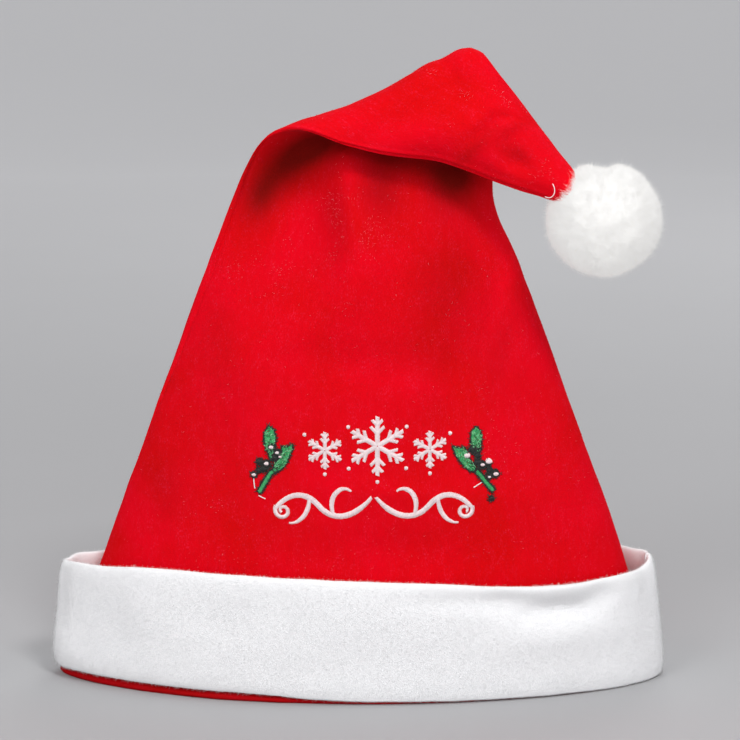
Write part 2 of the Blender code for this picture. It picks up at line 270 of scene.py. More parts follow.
# Colours
RED = (0.76, 0.0018, 0.0110)
DEEP_RED = (0.66, 0.0026, 0.0045)
# painted shade: the dark red that stands for shade under the fold, in the flap's creases and on the hem
PAINTED_SHADE_RED = (0.15, 0.0040, 0.0026)
RUBBED_RED = (0.84, 0.024, 0.070)
LINING_RED = (0.46, 0.003, 0.008)
SHEEN_RED = (1.0, 0.22, 0.28)
NAP = ((0.58, 0.003, 0.01), (0.82, 0.03, 0.045))
LINT = ((0.82, 0.06, 0.10), (0.90, 0.34, 0.40))
WHITE = (0.935, 0.935, 0.945)
SHADED_WHITE = (0.89, 0.89, 0.905)
PLUSH = ((0.91, 0.91, 0.92), (0.95, 0.95, 0.955))
FUR = ((0.46, 0.455, 0.447), (0.54, 0.535, 0.527))
GREEN_THREAD = ((0.02, 0.20, 0.065), (0.06, 0.50, 0.17))
LIGHT_GREEN_THREAD = ((0.07, 0.42, 0.15), (0.28, 0.74, 0.38))
BLACK_THREAD = ((0.006, 0.008, 0.007), (0.030, 0.036, 0.032))
WHITE_THREAD = ((0.84, 0.66, 0.68), (0.95, 0.84, 0.85))
FLOOR = (0.43, 0.43, 0.44)

# Finishes
RUBBED_AT_MOST = 0.75              # how far the flecks go to the rubbed red
LINING_RIB, LINING_GROOVE = 8.8 * MM, 0.7     # how far apart, and how dark between them
WAVE_PER_SCALE = 20                # radians a metre for each 1 of a wave texture's scale
PLIES_PER_METRE = 2600.0
# painted light: the white plush pile and the pompom fur glow
PLUSH_GLOW, FUR_GLOW = 0.09, 1.06

# The backdrop glows softly: the floor from and to this far out and back, and the wall from and to this height
FLOOR_GLOWS, BACK_GLOWS, WALL_GLOWS, WALL_GLOW = (0.35, 2.2), (-0.8, 0.8), (0.02, 0.5), 0.62


# Reading the tables, and the form of the cone

def smooth(x):
    """0 below 0, 1 above 1, and an S-curve between."""
    x = np.clip(x, 0, 1)
    return x * x * (3 - 2 * x)


def read(rows, column, at):
    """A table's column at values of its first column, on a smooth curve with no overshoot."""
    x = np.array([row[0] for row in rows])
    y = np.array([getattr(row, column) for row in rows])
    at = np.clip(at, x[0], x[-1])
    step, slope = np.diff(x), np.diff(y) / np.diff(x)
    tangent = np.zeros(len(x))
    tangent[0], tangent[-1] = slope[0], slope[-1]
    same_way = slope[:-1] * slope[1:] > 0
    pair = np.where(same_way, slope[:-1] + slope[1:], 1)
    tangent[1:-1] = np.where(same_way, 2 * slope[:-1] * slope[1:] / pair, 0)
    i = np.clip(np.searchsorted(x, at, side="right") - 1, 0, len(step) - 1)
    t, h = (at - x[i]) / step[i], step[i]
    return ((1 + 2 * t) * (1 - t) ** 2 * y[i] + t * (1 - t) ** 2 * h * tangent[i]
            + t * t * (3 - 2 * t) * y[i + 1] + t * t * (t - 1) * h * tangent[i + 1])


def side_shape(turn):
    """The depth of the section at a direction, as a share from -1 at the front to 1 at the back."""
    c, s = np.cos(turn), np.sin(turn)
    crease = RIGHT_CREASE * (1 + c) / 2 + LEFT_CREASE * (1 - c) / 2
    return np.sign(s) * np.abs(s) ** crease


def patch(shape, x, up, lean=0.0):
    """1 at the middle of a soft oval patch and 0 well outside it. x and up are measured from its middle."""
    across = x * math.cos(lean) - up * math.sin(lean)
    along = x * math.sin(lean) + up * math.cos(lean)
    return np.exp(-(across / shape.wide) ** 2 - (along / shape.tall) ** 2)


def dented(x, height, share):
    """How far the dents move the cloth along Y."""
    moved = np.zeros_like(x)
    for dent in DENTS:
        near = patch(dent, x - dent.x, height - dent.height, dent.lean)
        here = np.clip(dent.side * share, 0, 1)
        moved -= dent.side * dent.depth * near * here
    return moved


def cone(turn, height, inset=0.0):
    """Points of the folded cone at these directions and heights, inset from its outer surface."""
    left, right = read(SECTIONS, "left", height), read(SECTIONS, "right", height)
    ends = inset * SEAM / WALL
    x = (left + right) / 2 + ((right - left) / 2 - ends) * np.cos(turn)
    share = side_shape(turn)
    depth = np.where(share > 0, read(SECTIONS, "back", height), read(SECTIONS, "front", height))

    along = x * math.cos(FOLD_ANGLE) + (height - FOLD_HEIGHT) * math.sin(FOLD_ANGLE)
    beyond = -x * math.sin(FOLD_ANGLE) + (height - FOLD_HEIGHT) * math.cos(FOLD_ANGLE)
    radius, angle, reach, kink, flap = (read(BENDS, column, along) for column in BENDS[0]._fields[1:])
    arc = angle * radius
    before = 1 + (kink - 1) * smooth((beyond + reach) / reach)
    after = kink + (flap - kink) * smooth((beyond - arc) / FLAP_OPENS)
    flattened = depth * np.where(beyond < arc, before, after)
    y = share * (flattened - inset) + dented(x, height, share)

    turned = np.clip(beyond / radius, 0, angle)
    hangs = np.maximum(beyond - arc, 0)
    rise = np.where(beyond < 0, beyond, radius * np.sin(turned) + hangs * np.cos(angle))
    forward = -radius * (1 - np.cos(turned)) - hangs * np.sin(angle)
    rise = rise + (y + read(CRESTS, "lift", along)) * np.sin(turned)
    forward = forward + y * np.cos(turned)
    forward = forward + SWING * smooth((along - SWING_START) / SWING_LENGTH) * smooth(beyond / arc - 1)
    return np.stack([along * math.cos(FOLD_ANGLE) - rise * math.sin(FOLD_ANGLE), forward,
                     FOLD_HEIGHT + along * math.sin(FOLD_ANGLE) + rise * math.cos(FOLD_ANGLE)], -1)


def directions(around):
    """Directions round the hat, closer together at the two side creases."""
    even = np.linspace(0, 2 * math.pi, around, endpoint=False)
    return even - 0.25 * np.sin(2 * even)


def flat_ring(height, around):
    """A ring's places in the cone's flat drawing. Near the fold it is tilted, to run along the fold line."""
    tilt = math.tan(FOLD_ANGLE) * smooth((height - TILT_STARTS) / TILT_LENGTH)
    tilt *= 1 - smooth((height - TILT_ENDS) / LEVEL_LENGTH)
    left, right = read(SECTIONS, "left", height), read(SECTIONS, "right", height)
    across = (left + right) / 2 + (right - left) / 2 * np.cos(directions(around))
    return across, height + tilt * across


def cone_ring(height, around, inset=0.0):
    """A ring of the folded cone."""
    return cone(directions(around), flat_ring(height, around)[1], inset)


def footprint(offset, height, around):
    """The cone's lowest section, moved outwards by offset and lifted to height; each may vary round it."""
    base = cone(directions(around), np.zeros(around))
    tangent = np.roll(base, -1, 0) - np.roll(base, 1, 0)
    outwards = np.stack([tangent[:, 1], -tangent[:, 0]], -1)
    outwards /= np.linalg.norm(outwards, axis=1, keepdims=True)
    moved = base[:, :2] + outwards * np.reshape(offset, (-1, 1))
    return np.column_stack([moved, np.broadcast_to(height, around)])


def hem_height(around):
    """The hem's height round the hat."""
    return HEM_HEIGHT - HEM_RISE * np.cos(directions(around))


# Objects and node trees

def add_object(name, mesh, material=None):
    """Puts a mesh or a curve in the scene."""
    obj = bpy.data.objects.new(name, mesh)
    bpy.context.scene.collection.objects.link(obj)
    if material:
        mesh.materials.append(material)
    return obj


def finish_piece(obj, slot, *nodes):
    """Attaches the piece to the root body and hides the solids that it stands for. The slot is not used."""
    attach(obj, "root")
    if nodes:
        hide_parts(*nodes)
    return obj


def loft(name, rings, first_pole=None, last_pole=None, levels=None):
    """A smooth mesh through rings of points, with a map in metres along each ring and up it.

    Each end is closed to its pole, and with no poles the last ring joins the first.

    With levels, which are each point's height in the cone's flat drawing, the front and the back are mapped
    as two pieces of cloth, each measured from its middle."""
    rows, around = len(rings), len(rings[0])
    stack = np.array(rings)
    i = np.arange(around)
    j = (i + 1) % around
    pairs = [(r, r + 1) for r in range(rows - 1)] + ([(rows - 1, 0)] if first_pole is None else [])
    faces = np.concatenate([np.stack([a * around + i, a * around + j, b * around + j, b * around + i], -1)
                            for a, b in pairs]).tolist()

    steps = np.linalg.norm(np.roll(stack, -1, 1) - stack, axis=2)
    along = np.concatenate([np.zeros((rows, 1)), np.cumsum(steps, 1)], 1)
    middle = np.zeros((rows, around))
    if levels is None:
        climb = np.linalg.norm(np.diff(stack, axis=0), axis=2).mean(1)
        levels = np.repeat(np.concatenate([[0], np.cumsum(climb)]), around).reshape(rows, around)
    else:
        levels = np.array(levels)
        middle[:, :around // 2] = along[:, around // 4, None]
        middle[:, around // 2:] = along[:, 3 * around // 4, None]
    starts = np.stack([along[:, :-1] - middle, levels], -1)
    ends = np.stack([along[:, 1:] - middle, np.roll(levels, -1, 1)], -1)
    corners = list(np.concatenate([np.stack([starts[a], ends[a], ends[b], starts[b]], 1)
                                   for a, b in pairs]).reshape(-1, 2))
    points = list(stack.reshape(-1, 3))
    for pole, row in ((first_pole, 0), (last_pole, rows - 1)):
        if pole is not None:
            points.append(pole)
            first, start, end = row * around, starts[row], ends[row]
            faces += [(len(points) - 1, first + one, first + two) for one, two in zip(i, j)]
            corners += [corner for one in i for corner in (start[one], start[one], end[one])]
    mesh = bpy.data.meshes.new(name)
    mesh.from_pydata(points, [], faces)
    layer = mesh.uv_layers.new(name="cloth")
    layer.data.foreach_set("uv", np.array(corners, np.float32).ravel())
    bm = bmesh.new()
    bm.from_mesh(mesh)
    bmesh.ops.recalc_face_normals(bm, faces=bm.faces)
    bm.to_mesh(mesh)
    bm.free()
    mesh.shade_smooth()
    return mesh


def press(mesh, depths):
    """Moves each point of the mesh in by its depth, at right angles to the surface."""
    count = len(mesh.vertices)
    points, facing = np.empty(count * 3), np.empty(count * 3, np.float32)
    mesh.vertices.foreach_get("co", points)
    mesh.vertex_normals.foreach_get("vector", facing)
    points -= facing * np.repeat(depths, 3)
    mesh.vertices.foreach_set("co", points)
    mesh.update()


def unevenness(mesh, waves):
    """A gentle random depth at each point."""
    return np.array([sum(depth * noise.noise(v.co / size) for depth, size in waves)
                     for v in mesh.vertices])


def set_numbers(mesh, name, values):
    """Gives the mesh one number at each point."""
    attribute = mesh.attributes.new(name, "FLOAT", "POINT")
    attribute.data.foreach_set("value", np.asarray(values, np.float32))


def new_group(name, kind, inputs, outputs):
    """A node group with these named sockets, each (name, socket type, value)."""
    group = bpy.data.node_groups.new(name, kind)
    for side, sockets in (("INPUT", inputs), ("OUTPUT", outputs)):
        for label, socket_type, value in sockets:
            socket = group.interface.new_socket(label, in_out=side, socket_type="NodeSocket" + socket_type)
            if value is not None:
                socket.default_value = value
    return group


def add(tree, kind, into=None, **settings):
    """Adds a node. into gives its inputs, as values or other nodes' outputs, and settings its properties."""
    node = tree.nodes.new(kind)
    for name, value in settings.items():
        setattr(node, name, value)
    for key, value in (into or {}).items():
        if isinstance(value, bpy.types.NodeSocket):
            tree.links.new(value, node.inputs[key])
        else:
            node.inputs[key].default_value = value
    return node


def maths(tree, operation, a, b=0.0):
    """The result of a sum on one or two numbers."""
    return add(tree, "ShaderNodeMath", {0: a, 1: b}, operation=operation).outputs[0]


def vectors(tree, operation, a, b):
    """The result of a sum on two vectors."""
    return add(tree, "ShaderNodeVectorMath", {0: a, 1: b}, operation=operation).outputs[0]


def times(tree, vector, factor):
    """A vector made longer or shorter."""
    return add(tree, "ShaderNodeVectorMath", {0: vector, "Scale": factor}, operation="SCALE").outputs[0]


def plain_mesh(base, tree, name, values):
    """What the tree makes from the base object, as a mesh of its own."""
    modifier = base.modifiers.new(name, "NODES")
    modifier.node_group = tree
    for socket in tree.interface.items_tree:
        if socket.name in values:
            modifier[socket.identifier] = values[socket.name]
    depsgraph = bpy.context.evaluated_depsgraph_get()
    mesh = bpy.data.meshes.new_from_object(base.evaluated_get(depsgraph), depsgraph=depsgraph)
    base.modifiers.remove(modifier)
    mesh.name = name
    return mesh


# Geometry trees

def named(tree, name, kind):
    """The outputs of a node that reads a named attribute: the attribute, and whether it exists."""
    return add(tree, "GeometryNodeInputNamedAttribute", {"Name": name}, data_type=kind).outputs


def random_number(tree, lowest, seed):
    """A number for each point, from the lowest up to 1."""
    return add(tree, "FunctionNodeRandomValue", {2: lowest, 3: 1.0, "Seed": seed},
               data_type="FLOAT").outputs[1]


def finish_tree(tree, geometry, material):
    """Ends a geometry tree in plain meshes with their material."""
    real = add(tree, "GeometryNodeRealizeInstances", {0: geometry}).outputs[0]
    painted = add(tree, "GeometryNodeSetMaterial", {"Geometry": real, "Material": material}).outputs[0]
    add(tree, "NodeGroupOutput", {0: painted})


def make_pile_tree():
    """Hairs all over a surface, leaning together in patches.

    Each keeps the way that the surface faces at its root."""
    tree = new_group("Pile", "GeometryNodeTree", (
        ("Surface", "Geometry", None),
        ("Where", "String", "pile"),
        ("Hairs per square metre", "Float", 1e6),
        ("Length", "Float", 2 * MM),
        ("Length varies", "Float", 0.3),
        ("Root width", "Float", 0.2 * MM),
        ("Bend", "Float", 0.3 * MM),
        ("Parts of a hair", "Int", 1),
        ("Tuft size", "Float", 2 * MM),
        ("Tuft lean", "Float", 0.5),
        ("Stray", "Float", 0.3),
        ("Lie", "Vector", (0, 0, 0)),
        ("Seed", "Int", SEED),
        ("Material", "Material", None),
    ), (("Hairs", "Geometry", None),))
    given = add(tree, "NodeGroupInput").outputs
    where = named(tree, given["Where"], "FLOAT")["Attribute"]
    density = maths(tree, "MULTIPLY", where, given["Hairs per square metre"])
    roots = add(tree, "GeometryNodeDistributePointsOnFaces", {
        "Mesh": given["Surface"], "Density": density, "Seed": given["Seed"]})
    facing = roots.outputs["Normal"]
    place = add(tree, "GeometryNodeInputPosition").outputs[0]

    per_metre = maths(tree, "DIVIDE", 1.0, given["Tuft size"])
    tuft = add(tree, "ShaderNodeTexNoise", {
        "Vector": place, "Scale": per_metre, "Detail": 1.0}).outputs["Color"]
    lean = times(tree, vectors(tree, "SUBTRACT", tuft, (0.5, 0.5, 0.5)), given["Tuft lean"])
    random_way = add(tree, "FunctionNodeRandomValue", {0: (-1, -1, -1), 1: (1, 1, 1), "Seed": given["Seed"]},
                     data_type="FLOAT_VECTOR").outputs[0]
    stray = times(tree, random_way, given["Stray"])
    way = vectors(tree, "ADD", vectors(tree, "ADD", facing, lean), vectors(tree, "ADD", stray, given["Lie"]))
    upright = add(tree, "FunctionNodeAlignRotationToVector", {"Vector": way}, axis="Z").outputs[0]
    spin = add(tree, "FunctionNodeRandomValue", {0: (0, 0, 0), 1: (0, 0, 2 * math.pi), "Seed": 3},
               data_type="FLOAT_VECTOR").outputs[0]
    turned = add(tree, "FunctionNodeRotateRotation", {0: upright, 1: spin}, rotation_space="LOCAL").outputs[0]

    shortest = maths(tree, "SUBTRACT", 1.0, given["Length varies"])
    share = random_number(tree, shortest, 5)
    reach = named(tree, "reach", "FLOAT")
    known = add(tree, "GeometryNodeSwitch", {0: reach["Exists"], 1: 1.0, 2: reach["Attribute"]},
                input_type="FLOAT").outputs[0]
    length = maths(tree, "MULTIPLY", maths(tree, "MULTIPLY", share, known), given["Length"])
    size = add(tree, "ShaderNodeCombineXYZ", {
        0: given["Root width"], 1: given["Root width"], 2: length}).outputs[0]

    hair = add(tree, "GeometryNodeMeshCone", {
        "Vertices": 3, "Side Segments": given["Parts of a hair"], "Radius Top": 0.0, "Radius Bottom": 0.5,
        "Depth": 1.0}, fill_type="NONE").outputs["Mesh"]
    up = add(tree, "ShaderNodeSeparateXYZ", {0: place}).outputs[2]
    curve = maths(tree, "MULTIPLY", maths(tree, "MULTIPLY", up, up),
                  maths(tree, "DIVIDE", given["Bend"], given["Root width"]))
    bent = add(tree, "GeometryNodeSetPosition", {
        "Geometry": hair, "Offset": add(tree, "ShaderNodeCombineXYZ", {0: curve}).outputs[0]}).outputs[0]

    kept = add(tree, "GeometryNodeStoreNamedAttribute", {
        "Geometry": roots.outputs["Points"], "Name": "root_normal", "Value": facing},
        data_type="FLOAT_VECTOR", domain="POINT").outputs[0]
    tone = random_number(tree, 0.0, 11)
    kept = add(tree, "GeometryNodeStoreNamedAttribute", {"Geometry": kept, "Name": "tone", "Value": tone},
               data_type="FLOAT", domain="POINT").outputs[0]
    hairs = add(tree, "GeometryNodeInstanceOnPoints", {
        "Points": kept, "Instance": bent, "Rotation": turned, "Scale": size}).outputs[0]
    finish_tree(tree, hairs, given["Material"])
    return tree


def make_stitch_tree():
    """A raised thread over every edge of a mesh, sunk into the cloth at both ends."""
    tree = new_group("Stitches", "GeometryNodeTree", (
        ("Stitches", "Geometry", None),
        ("Thread radius", "Float", 0.17 * MM),
        ("Rise", "Float", 0.4 * MM),
        ("Points of a stitch", "Int", 5),
        ("Material", "Material", None),
    ), (("Threads", "Geometry", None),))
    given = add(tree, "NodeGroupInput").outputs
    lines = add(tree, "GeometryNodeMeshToCurve", {"Mesh": given["Stitches"]}).outputs[0]
    fine = add(tree, "GeometryNodeResampleCurve", {
        "Curve": lines, "Count": given["Points of a stitch"]}).outputs[0]
    share = add(tree, "GeometryNodeSplineParameter").outputs["Factor"]
    arch = maths(tree, "SINE", maths(tree, "MULTIPLY", share, math.pi))
    facing = named(tree, "facing", "FLOAT_VECTOR")["Attribute"]
    offset = times(tree, facing, maths(tree, "MULTIPLY", arch, given["Rise"]))
    raised = add(tree, "GeometryNodeSetPosition", {"Geometry": fine, "Offset": offset}).outputs[0]
    ring = add(tree, "GeometryNodeCurvePrimitiveCircle", {
        "Resolution": 5, "Radius": given["Thread radius"]}, mode="RADIUS").outputs[0]
    threads = add(tree, "GeometryNodeCurveToMesh", {
        "Curve": raised, "Profile Curve": ring, "Fill Caps": True}).outputs[0]
    smooth_threads = add(tree, "GeometryNodeSetShadeSmooth", {"Geometry": threads}).outputs[0]
    finish_tree(tree, smooth_threads, given["Material"])
    return tree


# Materials

def make_brushed_group():
    """Cloth with a nap: soft patches where it is brushed another way, and a fine grain of fibre ends."""
    tree = new_group("Brushed cloth", "ShaderNodeTree", (
        ("Vector", "Vector", (0, 0, 0)),
        ("Patch size", "Float", 20 * MM),
        ("Grain size", "Float", 0.5 * MM),
        ("Grain stretch", "Float", 2.0),
    ), (("Patches", "Float", None), ("Grain", "Float", None), ("Streaks", "Float", None)))
    given = add(tree, "NodeGroupInput").outputs
    patches = add(tree, "ShaderNodeTexNoise", {
        "Vector": given["Vector"], "Scale": maths(tree, "DIVIDE", 1.0, given["Patch size"]),
        "Detail": 3.0, "Roughness": 0.55, "Distortion": 0.4}).outputs[0]
    apart = add(tree, "ShaderNodeCombineXYZ", {
        0: 1.0, 1: maths(tree, "DIVIDE", 1.0, given["Grain stretch"]), 2: 1.0}).outputs[0]
    stretched = vectors(tree, "MULTIPLY", given["Vector"], apart)
    grain = add(tree, "ShaderNodeTexNoise", {
        "Vector": stretched, "Scale": maths(tree, "DIVIDE", 1.0, given["Grain size"]),
        "Detail": 2.0, "Roughness": 0.7}).outputs[0]
    streaks = add(tree, "ShaderNodeTexNoise", {
        "Vector": stretched, "Scale": maths(tree, "DIVIDE", 0.12, given["Grain size"]),
        "Detail": 4.0, "Roughness": 0.7, "Distortion": 1.2}).outputs[0]
    add(tree, "NodeGroupOutput", {"Patches": patches, "Grain": grain, "Streaks": streaks})
    return tree


def new_material(name, roughness, specular, sheen=0.0, sheen_tint=(1, 1, 1), sheen_roughness=0.4):
    """A material, its node tree and its shader, with the numbers that are the same all over."""
    material = bpy.data.materials.new(name)
    material.use_nodes = True
    tree = material.node_tree
    shader = tree.nodes["Principled BSDF"]
    shader.inputs["Roughness"].default_value = roughness
    shader.inputs["Sheen Weight"].default_value = sheen
    shader.inputs["Sheen Tint"].default_value = (*sheen_tint, 1)
    shader.inputs["Sheen Roughness"].default_value = sheen_roughness
    shader.inputs["Specular IOR Level"].default_value = specular
    return material, tree, shader


def mix(tree, share, a, b):
    """A colour from a to b."""
    a, b = ((*c, 1) if isinstance(c, tuple) else c for c in (a, b))
    return add(tree, "ShaderNodeMix", {0: share, 6: a, 7: b}, data_type="RGBA").outputs[2]


def spread(tree, value, low, high):
    """The value from low to high, spread over 0 to 1."""
    return add(tree, "ShaderNodeMapRange", {0: value, 1: low, 2: high}).outputs[0]


def number(tree, name):
    """A number that the mesh has at each point."""
    return add(tree, "ShaderNodeAttribute", attribute_name=name).outputs["Fac"]


def brushed(tree, patch_size, grain, stretch):
    """The patches, grain and streaks of a brushed cloth, on its own map."""
    where = add(tree, "ShaderNodeUVMap", uv_map="cloth").outputs[0]
    sizes = {"Vector": where, "Patch size": patch_size, "Grain size": grain, "Grain stretch": stretch}
    return add(tree, "ShaderNodeGroup", sizes, node_tree=bpy.data.node_groups["Brushed cloth"]).outputs


def bump(tree, shader, height, distance, strength):
    """Small relief in the shading."""
    node = add(tree, "ShaderNodeBump", {"Height": height, "Distance": distance, "Strength": strength})
    tree.links.new(node.outputs[0], shader.inputs["Normal"])


def make_velour():
    """Red velour with brushed patches, rubbed flecks and fibre grain, and its knitted back inside."""
    material, tree, shader = new_material(
        "red_velour", roughness=0.95, specular=0.03, sheen=0.06, sheen_tint=SHEEN_RED, sheen_roughness=0.3)
    cloth = brushed(tree, patch_size=48 * MM, grain=0.55 * MM, stretch=2.0)
    ground = mix(tree, spread(tree, cloth["Patches"], 0.34, 0.62), DEEP_RED, RED)
    flecks = maths(tree, "MULTIPLY", spread(tree, cloth["Grain"], 0.50, 0.72),
                   spread(tree, cloth["Streaks"], 0.46, 0.66))
    rubbed = mix(tree, maths(tree, "MULTIPLY", flecks, RUBBED_AT_MOST), ground, RUBBED_RED)
    # painted shade: the cloth turns to a dark red where shade is painted
    painted_shade = number(tree, "painted_shade")
    outside = mix(tree, painted_shade, rubbed, PAINTED_SHADE_RED)
    where = add(tree, "ShaderNodeUVMap", uv_map="cloth").outputs[0]
    ribs = add(tree, "ShaderNodeTexWave", {
        "Vector": where, "Scale": math.tau / WAVE_PER_SCALE / LINING_RIB,
        "Distortion": 1.5, "Detail": 2.0}).outputs[1]
    inside = mix(tree, ribs, tuple(LINING_GROOVE * c for c in LINING_RED), LINING_RED)
    face = number(tree, "pile")
    tree.links.new(mix(tree, face, inside, outside), shader.inputs["Base Color"])
    relief = add(tree, "ShaderNodeMix", {0: face, 2: ribs, 3: cloth["Grain"]}).outputs[0]
    bump(tree, shader, relief, distance=0.22 * MM, strength=0.6)
    return material


def make_hair_material(name, colours, glow=0.0):
    """Hairs of a pile, each a little lighter or darker than the next, and darker where shade is painted on
    the cloth.

    glow is painted light: it stands for the light that passes from hair to hair inside a thick white pile."""
    material, tree, shader = new_material(name, roughness=0.9, specular=0.05)
    tone = number(tree, "tone")
    # painted shade on the hairs as well as on the cloth under them
    painted_shade = number(tree, "painted_shade")
    colour = mix(tree, painted_shade, mix(tree, tone, *colours), PAINTED_SHADE_RED)
    tree.links.new(colour, shader.inputs["Base Color"])
    # painted light: the hairs glow in their own colour
    if glow:
        tree.links.new(colour, shader.inputs["Emission Color"])
        shader.inputs["Emission Strength"].default_value = glow
    return material


def make_plush():
    """White plush, a touch cooler in its hollows."""
    material, tree, shader = new_material(
        "white_plush", roughness=0.95, specular=0.05, sheen=0.1, sheen_roughness=0.5)
    cloth = brushed(tree, patch_size=12 * MM, grain=0.5 * MM, stretch=1.2)
    share = maths(tree, "MULTIPLY", spread(tree, cloth["Grain"], 0.3, 0.6),
                  spread(tree, cloth["Patches"], 0.1, 0.5))
    tree.links.new(mix(tree, share, SHADED_WHITE, WHITE), shader.inputs["Base Color"])
    bump(tree, shader, cloth["Grain"], distance=0.25 * MM, strength=0.4)
    return material


def make_thread(name, colours):
    """Satin thread: plies wound round it, and each stitch a little lighter or darker."""
    material, tree, shader = new_material(name, roughness=0.42, specular=0.4, sheen=0.1, sheen_roughness=0.3)
    where = add(tree, "ShaderNodeTexCoord").outputs["Object"]
    ply = add(tree, "ShaderNodeTexNoise", {
        "Vector": where, "Scale": PLIES_PER_METRE, "Detail": 1.0}).outputs[0]
    tone = number(tree, "tone")
    share = maths(tree, "ADD", maths(tree, "MULTIPLY", tone, 0.6), maths(tree, "MULTIPLY", ply, 0.5))
    tree.links.new(mix(tree, share, *colours), shader.inputs["Base Color"])
    bump(tree, shader, ply, distance=0.08 * MM, strength=0.5)
    return material


# The crown

def seam_depth(ring, height):
    """The side seam's groove, and the folded edge that makes the cloth proud beside it, round one ring."""
    steps = np.linalg.norm(np.roll(ring, -1, 0) - ring, axis=1)
    along = np.concatenate([[0], np.cumsum(steps[:-1])])
    crease = along[len(ring) // 2]
    away = along - crease - read(SEAM_LINE, "in_front", height)
    return (SEAM_GROOVE * np.exp(-(away / SEAM_GROOVE_WIDTH) ** 2)
            - SEAM_WELT * np.exp(-((away + 2 * SEAM_GROOVE_WIDTH) / SEAM_WELT_WIDTH) ** 2))


def painted_shade_ring(ring, height):
    """How much shade is painted round one ring of the outer cloth. On the back, only past the fold."""
    across, level = flat_ring(height, CROWN_AROUND)
    beyond = -across * math.sin(FOLD_ANGLE) + (level - FOLD_HEIGHT) * math.cos(FOLD_ANGLE)
    side = np.where(directions(CROWN_AROUND) < math.pi, BACK, FRONT)
    share = np.zeros(CROWN_AROUND)
    for place in PAINTED_SHADES:
        here = (side == place.side) & ((side == FRONT) | (beyond > 0))
        share += place.share * here * patch(place, ring[:, 0] - place.x, ring[:, 2] - place.z, place.lean)
    return np.clip(share, 0, 1)


def lint_on_ring(height):
    """How much lint clings round one ring."""
    x, z = flat_ring(height, CROWN_AROUND)
    side = np.where(directions(CROWN_AROUND) < math.pi, BACK, FRONT)
    lint = np.full(CROWN_AROUND, LINT_SPARSE)
    for place in LINT_PATCHES:
        lint += place.share * patch(place, x - place.x, z - place.height) * (side == place.side)
    return lint


def make_crown(material):
    """The folded cone with its wall and its rolled hem, and a piled surface outside."""
    around = CROWN_AROUND
    lining_heights = np.linspace(HOLLOW_END - 4 * MM, LINING_STARTS, LINING_ROWS)
    heights = [*np.arange(CLOTH_STARTS, TIP_END, CROWN_ROW), TIP_END]
    inner = [cone_ring(h, around, WALL) for h in lining_heights]
    foot = [footprint(-WALL, 0.0, around), footprint(HEM_FOOT, 0.0, around)]
    slack = 1 + sum(s.share * np.sin(s.waves * directions(around) + s.phase) for s in HEM_SLACK)
    hem = [footprint(roll.out * slack, roll.share * hem_height(around), around)
           for roll in reversed(HEM_ROLL)]
    outer = [cone_ring(h, around) for h in heights]
    rings = inner + foot + hem + outer
    levels = [flat_ring(h, around)[1] for h in lining_heights]
    levels += [np.full(around, -k * MM) for k in range(len(foot + hem))]
    levels += [flat_ring(h, around)[1] for h in heights]
    mesh = loft("crown", rings, cone_ring(HOLLOW_END, around, WALL).mean(0),
                cone_ring(TIP_END + 2 * MM, around).mean(0), levels)

    outside, lint, pressed, painted_shading = (np.zeros(len(mesh.vertices)) for _ in range(4))
    outside[len(inner + foot) * around:len(rings) * around] = 1
    cloth = slice(len(inner + foot + hem) * around, len(rings) * around)
    clusters = np.array([max(0.0, noise.noise(v.co / LINT_CLUSTERS)) for v in mesh.vertices])
    lint[cloth] = np.concatenate([lint_on_ring(h) for h in heights])
    pressed[cloth] = np.concatenate([seam_depth(ring, h) for ring, h in zip(outer, heights)])
    # painted shade on the hem, for the shade under the cuff
    painted_shading[len(inner) * around:cloth.start] = HEM_PAINTED_SHADE
    # painted shade under the fold, in the flap's creases and over broader parts of the front
    painted_shading[cloth] = np.concatenate([painted_shade_ring(ring, h) for ring, h in zip(outer, heights)])
    set_numbers(mesh, "pile", outside)
    set_numbers(mesh, "painted_shade", painted_shading)
    set_numbers(mesh, "lint", lint * LINT_GATHERS * clusters)
    press(mesh, pressed + outside * unevenness(mesh, CROWN_WAVES))
    return add_object("crown_velour", mesh, material)


# The cuff

def cuff_sag():
    """How far the outer layer hangs over the hem: not at all at the left, and to the ground at the right."""
    turn = directions(CUFF_AROUND)
    return CUFF_SAG * smooth((np.cos(turn) - CUFF_SAG_FROM) / CUFF_SAG_LENGTH)


def cuff_ring(level, outside):
    """A ring of the cuff at a share of its height, on its outer or its inner side."""
    around = CUFF_AROUND
    turn = directions(around)
    wave = sum(r.size * np.sin(r.waves * turn + r.phase) for r in CUFF_RIPPLES)
    bottom = HEM_ROLL[0].share * hem_height(around) + GAP
    top, lean = read(CUFF, "top", turn), read(CUFF, "lean", turn)
    height = bottom + (top + RIPPLES_IN_TOP * wave - bottom) * level
    rounding = math.sqrt(max(1 - abs(2 * level - 1) ** CUFF_SQUARE, 0.0))
    middle = GAP + CUFF_THICKNESS / 2 + lean * level + CUFF_BULGE * math.sin(math.pi * level) + wave * level
    side = 1 if outside else -1
    offset = middle + side * rounding * CUFF_THICKNESS / 2
    if outside:
        sags = np.clip(1 - level / CUFF_SAG_SHARE, 0, 1) ** 2 * min(1.0, level / CUFF_SEWN)
        height = np.maximum(height - cuff_sag() * sags, CUFF_CLEAR)
        x, y, z = footprint(offset, height, around).T
        in_front = smooth(0.5 - y / CUFF_DENTS_FADE)
        for dent in CUFF_DENTS:
            offset = offset - dent.depth * patch(dent, x - dent.x, z - dent.height) * in_front
    return footprint(offset, height, around)


